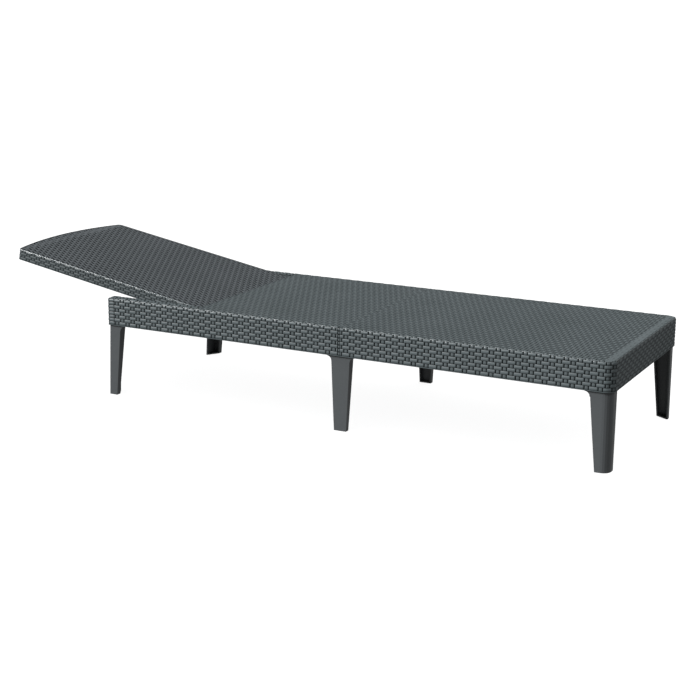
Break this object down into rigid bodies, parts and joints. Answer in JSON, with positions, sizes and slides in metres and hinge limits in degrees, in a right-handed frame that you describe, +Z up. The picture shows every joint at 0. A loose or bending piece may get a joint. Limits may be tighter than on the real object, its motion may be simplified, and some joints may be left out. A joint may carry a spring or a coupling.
{
  "type": "reclining sun lounger",
  "caption": "Low reclining sun lounger in moulded flat-weave resin, with a propped, hinged backrest over a two-part deck on tapered legs.",
  "frame": {"origin": "on the ground under the middle of the lounger's box with the backrest raised 10 degrees", "axes": "+X along the length to the foot end, +Y to the lying person's left, +Z up"},
  "size_m": [1.8632, 0.58, 0.3942],
  "materials": {
    "woven_resin": "slate grey moulded resin with flat-rattan weave relief, satin",
    "leg_resin": "slate grey moulded resin, smooth, satin",
    "inner_plastic": "dark grey moulded plastic, matte",
    "zinc_steel": "zinc-plated steel"
  },
  "bodies": {
    "frame": {"head_frame": "woven_resin", "foot_frame": "woven_resin", "leg_head_right": "leg_resin", "leg_head_left": "leg_resin", "leg_mid_right": "leg_resin", "leg_mid_left": "leg_resin", "leg_foot_right": "leg_resin", "leg_foot_left": "leg_resin", "leg_screws": "zinc_steel", "seam_bolts": "zinc_steel", "seam_washers": "zinc_steel", "seam_nuts": "zinc_steel", "rack_right": "inner_plastic", "rack_left": "inner_plastic", "rack_screws": "zinc_steel"},
    "backrest": {"backrest_panel": "woven_resin", "hinge_pin_right": "inner_plastic", "hinge_pin_left": "inner_plastic", "prop_pin_right": "zinc_steel", "prop_pin_left": "zinc_steel"},
    "prop": {"prop_arm_right": "inner_plastic", "prop_arm_left": "inner_plastic", "prop_crossbar": "zinc_steel", "prop_bush_right": "inner_plastic", "prop_bush_left": "inner_plastic"}
  },
  "joints": [
    {"name": "backrest_hinge", "type": "hinge", "parent": "frame", "child": "backrest", "pos_m": [-0.3084, 0, 0.269], "axis": [0, 1, 0], "range_deg": [-10, 40]},
    {"name": "prop_pivot", "type": "hinge", "parent": "backrest", "child": "prop", "pos_m": [-0.41869, 0, 0.28845], "axis": [0, 1, 0], "range_deg": [-85, 22]}
  ],
  "couplings": [
    {"joint": "prop_pivot", "follows": "backrest_hinge", "ratio": -2.1}
  ]
}
